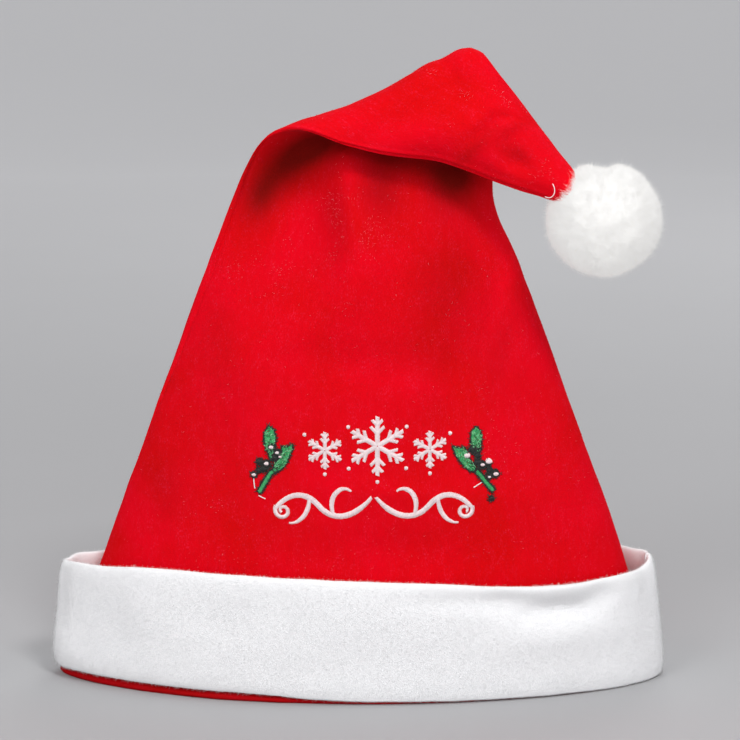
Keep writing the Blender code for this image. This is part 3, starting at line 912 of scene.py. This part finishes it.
def make_cuff(material):
    """The turned-up plush band."""
    share = np.linspace(0, 1, CUFF_ROWS)
    levels = share - CUFF_ROWS_CLOSER * np.sin(2 * math.pi * share)
    outside = [cuff_ring(level, True) for level in levels]
    inside = [cuff_ring(level, False) for level in levels[-2:0:-1]]
    mesh = loft("cuff", outside + inside)
    rows = np.repeat(np.arange(len(outside) + len(inside)), CUFF_AROUND)
    piled = np.where(rows < len(outside) + len(inside) * PILED_INSIDE, 1.0, 0.0)
    behind = np.array([v.co.y for v in mesh.vertices]) > 0
    press(mesh, unevenness(mesh, CUFF_WAVES))
    set_numbers(mesh, "pile_front", piled * ~behind)
    set_numbers(mesh, "pile_back", piled * behind * PILE_BEHIND)
    return add_object("cuff_plush", mesh, material)


# The pompom

def make_pompom_core(material):
    """The pompom's lumpy middle, bare where the crown's tip goes in, and parted at the top and the bottom."""
    bm = bmesh.new()
    bmesh.ops.create_icosphere(bm, subdivisions=POMPOM_SUBDIVISIONS, radius=1)
    mesh = bpy.data.meshes.new("pompom_core")
    bm.to_mesh(mesh)
    bm.free()
    ways = np.array([v.co for v in mesh.vertices])
    tip = cone_ring(TIP_END, TIP_AROUND).mean(0)
    axis = cone_ring(TIP_STARTS, TIP_AROUND).mean(0) - tip
    axis /= np.linalg.norm(axis)
    inwards = ways @ axis
    off_tip = np.linalg.norm(ways - inwards[:, None] * axis, axis=1) * POMPOM_RADIUS
    bare = (inwards > 0) * (1 - smooth((off_tip - BARE_RADIUS) / BARE_EDGE))
    lumps = np.array([sum(depth * noise.noise(Vector(way) * POMPOM_RADIUS / size)
                          for depth, size in POMPOM_LUMPS) for way in ways])
    reach = np.ones(len(ways))
    for parting in PARTINGS:
        away = np.degrees(np.arccos(np.clip(ways @ np.array(parting.towards), -1, 1)))
        near = np.exp(-(away / parting.spread) ** 2)
        lumps -= parting.depth * near
        reach -= SHORT_IN_PARTING * near
    radius = POMPOM_CORE + lumps - bare * (POMPOM_CORE - POMPOM_NECK)
    points = ways * radius[:, None] + np.array(POMPOM_CENTRE)
    mesh.vertices.foreach_set("co", points.ravel())
    set_numbers(mesh, "pile", 1 - bare)
    set_numbers(mesh, "reach", reach)
    set_numbers(mesh, "tone", np.full(len(mesh.vertices), 0.5))
    mesh.shade_smooth()
    return add_object("pompom_core", mesh, material)


# Hairs

def face_as_roots(mesh):
    """Lights each hair as the surface that it stands on."""
    normals = np.empty(len(mesh.vertices) * 3, np.float32)
    mesh.attributes["root_normal"].data.foreach_get("vector", normals)
    mesh.shade_smooth()
    mesh.normals_split_custom_set_from_vertices(normals.reshape(-1, 3))


def grow_pile(base, name, slot, tree, material):
    """The hairs of one row of PILES, on the base piece."""
    pile = PILES[name]
    mesh = plain_mesh(base, tree, name, {
        "Where": pile.where, "Hairs per square metre": pile.per_mm2 * MM2, "Length": pile.length,
        "Length varies": pile.varies, "Root width": pile.root, "Bend": pile.bend,
        "Parts of a hair": pile.parts, "Tuft size": pile.tuft, "Tuft lean": pile.lean, "Stray": pile.stray,
        "Lie": (0.0, 0.0, -pile.sinks), "Seed": pile.seed, "Material": material})
    face_as_roots(mesh)
    return finish_piece(add_object(name, mesh), slot)


# Embroidery, drawn flat in millimetres on the crown's front

WELL_IN_FRONT = 200 * MM           # where the lines start that find the cloth
ENDS_STAND = 0.3                   # of the thread's radius, over the cloth
LOOK_AHEAD = 0.3                   # from a place to the two that give its direction
SATIN_SLANT, SATIN_STRAY = 0.35, 0.08
FILL_PITCH, FILL_LONGEST, EDGE_PITCH, KNOT_PITCH = 0.25, 2.6, 0.24, 0.30
CURVE_STEPS = 24


def stitch_object(name, cloth, ends, tree, material, radius, rise):
    """Threads between pairs of places (x, z) on the front of the cloth."""
    flat = np.array(ends).reshape(-1, 2) * MM
    hits = [cloth.ray_cast(Vector((x, -WELL_IN_FRONT, z)), Vector((0, 1, 0))) for x, z in flat]
    facing = np.array([hit[1] for hit in hits])
    points = np.array([hit[0] for hit in hits]) + facing * radius * ENDS_STAND
    mesh = bpy.data.meshes.new(name)
    mesh.from_pydata(points.tolist(), [(2 * i, 2 * i + 1) for i in range(len(ends))], [])
    attribute = mesh.attributes.new("facing", "FLOAT_VECTOR", "POINT")
    attribute.data.foreach_set("vector", facing.astype(np.float32).ravel())
    rng = np.random.default_rng(SEED)
    set_numbers(mesh, "tone", np.repeat(rng.uniform(0, 1, len(ends)), 2))
    guide = add_object(name + "_guide", mesh)
    threads = plain_mesh(guide, tree, name, {"Thread radius": radius, "Rise": rise, "Material": material})
    bpy.data.objects.remove(guide)
    return finish_piece(add_object(name, threads), "crown")


def resample(path, pitch):
    """Places at even steps along a path, the direction there, and the share of the path up to there."""
    path = np.array(path, float)
    steps = np.linalg.norm(np.diff(path, axis=0), axis=1)
    along = np.concatenate([[0], np.cumsum(steps)])
    at = np.arange(0, along[-1], pitch)
    places = np.stack([np.interp(at, along, path[:, k]) for k in (0, 1)], -1)
    ahead, back = np.minimum(at + LOOK_AHEAD, along[-1]), np.maximum(at - LOOK_AHEAD, 0)
    way = np.stack([np.interp(ahead, along, path[:, k]) - np.interp(back, along, path[:, k])
                    for k in (0, 1)], -1)
    return places, way / np.linalg.norm(way, axis=1, keepdims=True), at / along[-1]


def satin(path, width, pitch=0.33):
    """Close stitches across a path, from edge to edge. width is a list, for even steps along the path."""
    rng = np.random.default_rng(len(path))
    places, way, share = resample(path, pitch)
    half = np.interp(share, np.linspace(0, 1, len(width)), width)[:, None] / 2
    side = np.stack([-way[:, 1], way[:, 0]], -1)
    stray = rng.uniform(-SATIN_STRAY, SATIN_STRAY, (len(places), 2))
    a = places + side * (half + stray[:, :1]) + way * half * SATIN_SLANT
    b = places - side * (half + stray[:, 1:]) - way * half * SATIN_SLANT
    return list(zip(a.tolist(), b.tolist()))


def bezier(*points):
    """A cubic curve through control points given in threes after the first."""
    path = [np.array(points[0], float)]
    for k in range(1, len(points), 3):
        p0, p1, p2, p3 = path[-1], *(np.array(p, float) for p in points[k:k + 3])
        for t in np.linspace(0, 1, CURVE_STEPS + 1)[1:]:
            s = 1 - t
            path.append(s ** 3 * p0 + 3 * t * s ** 2 * p1 + 3 * t * t * s * p2 + t ** 3 * p3)
    return path


def curl(centre, start, end, turns, steps=40):
    """A spiral from radius start to radius end, over turns given as (first, last) in degrees."""
    first, last = (math.radians(a) for a in turns)
    path = []
    for t in np.linspace(0, 1, steps):
        radius, angle = start + (end - start) * t, first + (last - first) * t
        path.append(np.array([centre[0] + radius * math.cos(angle), centre[1] + radius * math.sin(angle)]))
    return path


SNOWFLAKES = table("Snowflake", "x z radius width", (
    (7.5, 108.5, 12.5, 1.9),
    (-14.5, 106.5, 7.8, 1.4),
    (29.5, 106.5, 7.8, 1.4),
))
TWIGS = table("Twigs", "place length", ((0.42, 0.30), (0.70, 0.24)))     # as shares of an arm
TWIG_SLANT = 0.75
ARM_STARTS = 0.4

SCROLL_MIDDLE, DOTS_MIDDLE = 6.0, 7.5
SNOW_DOTS = ((12.2, 116.5), (12.0, 99.0), (30.5, 113.0), (0.0, 93.5), (22.0, 96.5))
SNOW_DOT_RADIUS = 0.75

# One half of the scroll, out from its middle
SCROLL_STEM = ((1, 87), (8, 78), (17, 76), (23, 83), (29, 90), (36, 88), (41, 82))
SCROLL_UPPER = ((17, 79.5), (20, 88), (13, 93), (9.5, 89.5))
SCROLL_LOWER = ((27, 86.5), (27, 79), (32, 75), (35.5, 75.5))


def snowflake(flake):
    """Six arms, each with two pairs of side twigs."""
    stitches = []
    centre, width = np.array((flake.x, flake.z)), flake.width
    for k in range(6):
        angle = math.radians(30 + 60 * k)
        arm = np.array([math.cos(angle), math.sin(angle)])
        side = np.array([-arm[1], arm[0]])
        ends = [centre + arm * ARM_STARTS, centre + arm * flake.radius]
        stitches += satin(ends, [width, width, width * 0.8])
        for twigs in TWIGS:
            root = centre + arm * flake.radius * twigs.place
            for hand in (-1, 1):
                end = root + (arm + side * hand) * TWIG_SLANT * flake.radius * twigs.length
                stitches += satin([root, end], [width * 0.8, width * 0.6])
    return stitches


def scroll(hand):
    """One half of the scroll under the snowflakes; hand is 1 for the right half and -1 for the left."""
    def mirrored(points):
        return [np.array((SCROLL_MIDDLE + hand * x, z)) for x, z in points]

    end = mirrored(curl((38.3, 80.6), 3.4, 0.8, (30, -420)))
    return (satin(bezier(*mirrored(SCROLL_STEM)), [1.2, 2.3, 2.3, 2.2, 2.3, 2.0, 1.6])
            + satin(end, [1.7, 1.5, 1.0])
            + satin(bezier(*mirrored(SCROLL_UPPER)), [1.2, 2.0, 1.8, 0.7])
            + satin(bezier(*mirrored(SCROLL_LOWER)), [1.2, 1.9, 1.6, 0.6]))


def filled(outline, angle):
    """Parallel stitches that fill an outline, the long ones in two lengths that meet unevenly."""
    rng = np.random.default_rng(len(outline))
    outline = np.array(outline, float)
    along = np.array([math.cos(math.radians(angle)), math.sin(math.radians(angle))])
    across = np.array([-along[1], along[0]])
    u, v = outline @ along, outline @ across
    stitches = []
    for level in np.arange(v.min() + FILL_PITCH / 2, v.max(), FILL_PITCH):
        cuts = sorted(u[i - 1] + (level - v[i - 1]) / (v[i] - v[i - 1]) * (u[i] - u[i - 1])
                      for i in range(len(u)) if (v[i - 1] - level) * (v[i] - level) < 0)
        for start, end in zip(cuts[::2], cuts[1::2]):
            parts = [start, end]
            if end - start > FILL_LONGEST:
                parts.insert(1, start + (end - start) * rng.uniform(0.35, 0.65))
            for one, two in zip(parts, parts[1:]):
                tilted = level + rng.uniform(-0.2, 0.2)
                stitches.append((along * one + across * level, along * two + across * tilted))
    return stitches


def sketched(outline, angle, count):
    """Short loose stitches scattered inside an outline, over its filling."""
    rng = np.random.default_rng(count)
    outline = np.array(outline, float)
    stitches = []
    for _ in range(count):
        corners = outline[rng.choice(len(outline), 3, replace=False)]
        place = rng.dirichlet((1, 1, 1)) @ corners
        way = math.radians(angle + rng.uniform(-50, 50))
        half = np.array([math.cos(way), math.sin(way)]) * rng.uniform(0.4, 0.8)
        stitches.append((place - half, place + half))
    return stitches


def ragged(outline, closed=True):
    """A dark edge of short stitches that cross an outline at all angles, some of them long."""
    rng = np.random.default_rng(len(outline) + 1)
    path = list(outline) + [outline[0]] * closed
    places, way, _ = resample(path, EDGE_PITCH)
    stitches = []
    for place, ahead in zip(places, way):
        turned = rng.uniform(-0.9, 0.9)
        side = np.array([-ahead[1], ahead[0]])
        across = side * math.cos(turned) + ahead * math.sin(turned)
        out, back = rng.uniform(0.3, 0.8), rng.uniform(0.25, 0.6)
        if rng.uniform() < 0.22:
            out *= 2.0
        stitches.append((place - across * back, place + across * out))
    return stitches


# A leaf is the angle of its stitches and its outline, a bud or a berry its place and radius, and a tack its
# two ends. Outlines run clockwise, so that the long stitches of an edge stand outside it
Sprig = namedtuple("Sprig", "leaves stem buds berries tacks")
SPRIGS = (
    Sprig(
        leaves=(
            (80, ((-37.9, 116.2), (-35.8, 114.6), (-34.9, 111.3), (-35.5, 107.6), (-36.4, 104.0),
                  (-37.4, 101.4), (-38.4, 104.6), (-39.7, 107.6), (-40.2, 111.0), (-39.5, 114.2))),
            (50, ((-32.9, 107.8), (-30.6, 107.6), (-27.7, 108.9), (-28.2, 105.9), (-29.3, 103.8),
                  (-30.5, 100.8), (-32.6, 98.0), (-35.4, 96.8), (-36.6, 97.6), (-35.6, 100.4),
                  (-33.6, 102.8), (-32.4, 105.2)))),
        stem=((-34.8, 98.2), (-37.4, 96.3), (-39.2, 93.2), (-40.8, 90.4), (-42.4, 87.6)),
        buds=((-36.8, 107.2, 1.7), (-34.0, 104.6, 1.9), (-35.9, 102.6, 1.3), (-38.9, 99.9, 2.0),
              (-41.9, 100.8, 1.7), (-40.4, 97.8, 1.5), (-44.4, 95.2, 1.4), (-42.4, 97.2, 1.2)),
        berries=((-36.9, 107.2, 0.95), (-34.4, 105.0, 0.8), (-33.2, 103.4, 0.55), (-38.9, 100.2, 0.95),
                 (-44.3, 95.2, 0.85)),
        tacks=(((-44.6, 94.0), (-44.1, 89.4)), ((-42.5, 86.5), (-39.6, 85.2)))),
    Sprig(
        leaves=(
            (100, ((49.2, 115.5), (50.9, 113.4), (51.5, 110.8), (51.0, 107.9), (50.2, 104.6),
                   (48.9, 104.4), (47.0, 107.9), (46.6, 111.2), (47.2, 113.8))),
            (130, ((38.9, 107.6), (41.6, 106.7), (44.3, 106.9), (45.3, 104.4), (45.9, 102.2), (47.5, 99.9),
                   (49.3, 97.4), (48.3, 96.5), (46.5, 96.9), (44.3, 98.5), (42.0, 101.2), (40.2, 104.2)))),
        stem=((48.8, 97.4), (51.2, 94.6), (53.8, 91.2), (56.5, 88.2)),
        buds=((47.6, 105.9, 1.9), (49.9, 106.2, 1.5), (49.6, 103.2, 1.5), (49.6, 100.4, 1.6),
              (51.6, 99.2, 1.9), (54.0, 99.6, 1.5), (54.7, 96.8, 1.5), (57.2, 95.3, 1.9),
              (54.4, 94.0, 1.3), (55.5, 85.0, 1.3)),
        berries=((45.2, 103.5, 1.25), (51.6, 99.4, 0.85), (54.3, 100.6, 1.35), (57.3, 95.2, 1.1),
                 (54.5, 94.1, 0.6)),
        tacks=(((48.0, 90.0), (51.9, 92.3)),)),
)
FILL_TURN = 60                     # degrees from a leaf's own angle to its filling
LIGHT_STITCHES, DARK_STITCHES = 60, 24     # over each leaf's filling
STEM_WIDTH, STEM_STEP, STEM_PITCH = 2.0, 0.5, 0.3
BUD_SHARE = 0.85                   # of the radii above


def knot(x, z, radius):
    """A round dot of parallel stitches."""
    ends = []
    for across in np.arange(-radius + KNOT_PITCH / 2, radius, KNOT_PITCH):
        half = math.sqrt(max(radius ** 2 - across ** 2, 0.0))
        ends.append(((x + across, z - half), (x + across, z + half)))
    return ends


def make_embroidery(crown, tree, white, green, light_green, black):
    """Two holly sprigs, and snowflakes over a scroll between them."""
    fills, lights, darks, edges, buds, berries, tacks = [], [], [], [], [], [], []
    for sprig in SPRIGS:
        for angle, outline in sprig.leaves:
            fills += filled(outline, angle - FILL_TURN)
            lights += sketched(outline, angle, LIGHT_STITCHES)
            darks += sketched(outline, angle, DARK_STITCHES)
            edges += ragged(outline)
        places, way, _ = resample(sprig.stem, STEM_STEP)
        side = np.stack([-way[:, 1], way[:, 0]], -1) * STEM_WIDTH / 2
        fills += satin(places, [STEM_WIDTH * 0.8, STEM_WIDTH, STEM_WIDTH], STEM_PITCH)
        edges += ragged([*(places + side), *(places - side)[::-1]])
        for x, z, full in sprig.buds:
            radius = BUD_SHARE * full
            buds += knot(x, z, radius)
            edges += ragged(curl((x, z), radius, radius, (360, 0), 12), closed=False)
        for x, z, radius in sprig.berries:
            berries += knot(x, z, radius)
        tacks += list(sprig.tacks)
    motif = [stitch for flake in SNOWFLAKES for stitch in snowflake(flake)] + scroll(1) + scroll(-1)
    for x, z in SNOW_DOTS:
        for across in sorted({-x, x}):
            motif += knot(DOTS_MIDDLE + across, z, SNOW_DOT_RADIUS)
    cloth = BVHTree.FromPolygons([v.co for v in crown.data.vertices],
                                 [p.vertices for p in crown.data.polygons])
    return [stitch_object(name, cloth, ends, tree, material, radius * MM, rise * MM)
            for name, ends, material, radius, rise in (     # of the thread, and how far it arches
                ("sprig_leaves", fills, green, 0.17, 0.35),
                ("sprig_lights", lights, light_green, 0.13, 0.75),
                ("sprig_darks", darks, black, 0.09, 0.80),
                ("sprig_edges", edges, black, 0.12, 0.60),
                ("sprig_buds", buds, black, 0.16, 0.75),
                ("sprig_berries", berries, white, 0.17, 1.15),
                ("sprig_tacks", tacks, white, 0.26, 0.25),
                ("motif_satin", motif, white, 0.17, 0.50))]


THREAD_LOOP = ((75.9, -37.0, 213.6), (77.4, -38.2, 213.0), (78.9, -38.6, 213.8), (79.8, -38.8, 215.6),
               (79.6, -38.6, 217.6), (78.8, -38.0, 219.0))
THREAD_LOOP_RADIUS = 0.18 * MM
THREAD_LOOP_TONE = 0.8


def make_thread_loop(material):
    """The end of white sewing thread that curls out by the pompom."""
    points = [Vector(p) * MM for p in THREAD_LOOP]
    curve = bpy.data.curves.new("pompom_thread", "CURVE")
    curve.dimensions = "3D"
    spline = curve.splines.new("NURBS")
    spline.points.add(len(points) - 1)
    for point, place in zip(spline.points, points):
        point.co = (*place, 1)
    spline.order_u = 4
    spline.use_endpoint_u = True
    curve.bevel_depth = THREAD_LOOP_RADIUS
    curve.bevel_resolution = 2
    curve.resolution_u = 8
    curve.use_fill_caps = True
    obj = add_object("pompom_thread_curve", curve)
    depsgraph = bpy.context.evaluated_depsgraph_get()
    mesh = bpy.data.meshes.new_from_object(obj.evaluated_get(depsgraph))
    bpy.data.objects.remove(obj)
    set_numbers(mesh, "tone", np.full(len(mesh.vertices), THREAD_LOOP_TONE))
    mesh.materials.clear()
    return finish_piece(add_object("pompom_thread", mesh, material), "pompom")


# Studio, in metres

FLAT_FLOOR = (0.6, 1.2, 2.2)       # radii; beyond the last the floor curves up into a wall
FLOOR_CURVE, WALL_TOP = 1.0, 3.0
FLOOR_AROUND, FLOOR_CURVE_STEPS = 96, 12
FLOOR_MOTTLE = 1.03                # how much lighter its light spots are
CAMERA_LOOKS_AT = Vector((4.4, 0, 134.8)) * MM
CAMERA_TILT = math.radians(10.5)
LENS, SENSOR = 113.1, 36           # millimetres
LIGHTS_LOOK_AT = Vector((0, 0, 0.12))
LIGHTS = table("Light", "name place size power", (
    ("key", (0.55, -1.00, 1.40), 0.4, 12.0),
    ("second", (-0.85, -1.10, 1.20), 0.7, 7.6),
    ("front", (0.10, -1.75, 0.50), 0.9, 7.0),
    ("top", (0.0, 0.1, 1.6), 1.0, 5.5),
    ("back", (0.4, 1.5, 1.3), 1.0, 8.0),
))
ROOM_LIGHT = 0.18


def make_floor():
    """A pale round floor that curves up into a wall all round."""
    around, radius = FLOOR_AROUND, FLAT_FLOOR[-1]
    profile = [(r, 0.0) for r in FLAT_FLOOR]
    for k in range(1, FLOOR_CURVE_STEPS + 1):
        turn = k * math.pi / 2 / FLOOR_CURVE_STEPS
        profile.append((radius + FLOOR_CURVE * math.sin(turn), FLOOR_CURVE * (1 - math.cos(turn))))
    profile.append((radius + FLOOR_CURVE, WALL_TOP))
    turns = [2 * math.pi * k / around for k in range(around)]
    points = [(0, 0, 0)] + [(r * math.cos(t), r * math.sin(t), z) for r, z in profile for t in turns]
    faces = [(0, 1 + k, 1 + (k + 1) % around) for k in range(around)]
    for first in range(1, len(points) - around, around):
        for k in range(around):
            one, two = first + k, first + (k + 1) % around
            faces.append((one, one + around, two + around, two))
    mesh = bpy.data.meshes.new("floor")
    mesh.from_pydata(points, [], faces)
    mesh.shade_smooth()
    material, tree, shader = new_material("pale_floor", roughness=0.8, specular=0.2)
    where = add(tree, "ShaderNodeTexCoord").outputs["Object"]
    mottle = add(tree, "ShaderNodeTexNoise", {"Vector": where, "Scale": 6.0, "Detail": 2.0}).outputs[0]
    lightest = tuple(c * FLOOR_MOTTLE for c in FLOOR)
    tree.links.new(mix(tree, mottle, FLOOR, lightest), shader.inputs["Base Color"])
    distance = add(tree, "ShaderNodeVectorMath", {0: where}, operation="LENGTH").outputs["Value"]
    back, height = add(tree, "ShaderNodeSeparateXYZ", {0: where}).outputs[1:]
    behind = maths(tree, "MULTIPLY", spread(tree, distance, *FLOOR_GLOWS), spread(tree, back, *BACK_GLOWS))
    glow = maths(tree, "MAXIMUM", behind, spread(tree, height, *WALL_GLOWS))
    tree.links.new(mix(tree, glow, (0, 0, 0), FLOOR), shader.inputs["Emission Color"])
    shader.inputs["Emission Strength"].default_value = WALL_GLOW
    add_object("floor", mesh, material)


def make_studio():
    """The floor, soft lights, and the camera a metre from the hat."""
    make_floor()
    camera = bpy.data.objects.new("camera", bpy.data.cameras.new("camera"))
    camera.data.sensor_width = SENSOR
    camera.data.lens = LENS
    camera.location = CAMERA_LOOKS_AT + Vector((0, -math.cos(CAMERA_TILT), math.sin(CAMERA_TILT)))
    camera.rotation_euler = (math.pi / 2 - CAMERA_TILT, 0, 0)
    camera.data.clip_start, camera.data.clip_end = 0.01, 20
    bpy.context.scene.collection.objects.link(camera)
    bpy.context.scene.camera = camera

    for lamp in LIGHTS:
        light = bpy.data.lights.new(lamp.name, "AREA")
        light.size, light.energy = lamp.size, lamp.power
        obj = bpy.data.objects.new(lamp.name, light)
        obj.location = lamp.place
        obj.rotation_euler = (LIGHTS_LOOK_AT - obj.location).to_track_quat("-Z", "Y").to_euler()
        bpy.context.scene.collection.objects.link(obj)
    world = bpy.data.worlds.new("studio")
    world.use_nodes = True
    world.node_tree.nodes["Background"].inputs[0].default_value = (1, 1, 1, 1)
    world.node_tree.nodes["Background"].inputs[1].default_value = ROOM_LIGHT
    bpy.context.scene.world = world
    bpy.context.scene.view_settings.view_transform = "Standard"


def main():
    """Makes the studio and the hat, puts each piece on the root body and hides the solids that it stands for.
    """
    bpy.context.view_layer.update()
    make_studio()
    make_brushed_group()
    pile, stitches = make_pile_tree(), make_stitch_tree()
    velour, plush = make_velour(), make_plush()
    nap, lint = make_hair_material("red_nap", NAP), make_hair_material("lint", LINT)
    plush_pile = make_hair_material("plush_pile", PLUSH, PLUSH_GLOW)
    fur = make_hair_material("pompom_fur", FUR, FUR_GLOW)
    white, green = make_thread("white_thread", WHITE_THREAD), make_thread("green_thread", GREEN_THREAD)
    light_green = make_thread("light_green_thread", LIGHT_GREEN_THREAD)
    black = make_thread("black_thread", BLACK_THREAD)

    crown = finish_piece(make_crown(velour), "crown", "crown")
    cuff = finish_piece(make_cuff(plush), "cuff", "cuff")
    core = finish_piece(make_pompom_core(fur), "pompom", "pompom")
    on_crown = [grow_pile(crown, "crown_nap", "crown", pile, nap),
                grow_pile(crown, "crown_lint", "crown", pile, lint)]
    on_crown += make_embroidery(crown, stitches, white, green, light_green, black)
    on_cuff = [grow_pile(cuff, "cuff_pile_" + side, "cuff", pile, plush_pile) for side in ("front", "back")]
    for name in ("pompom_fur", "pompom_strays"):
        grow_pile(core, name, "pompom", pile, fur)
    make_thread_loop(white)


main()
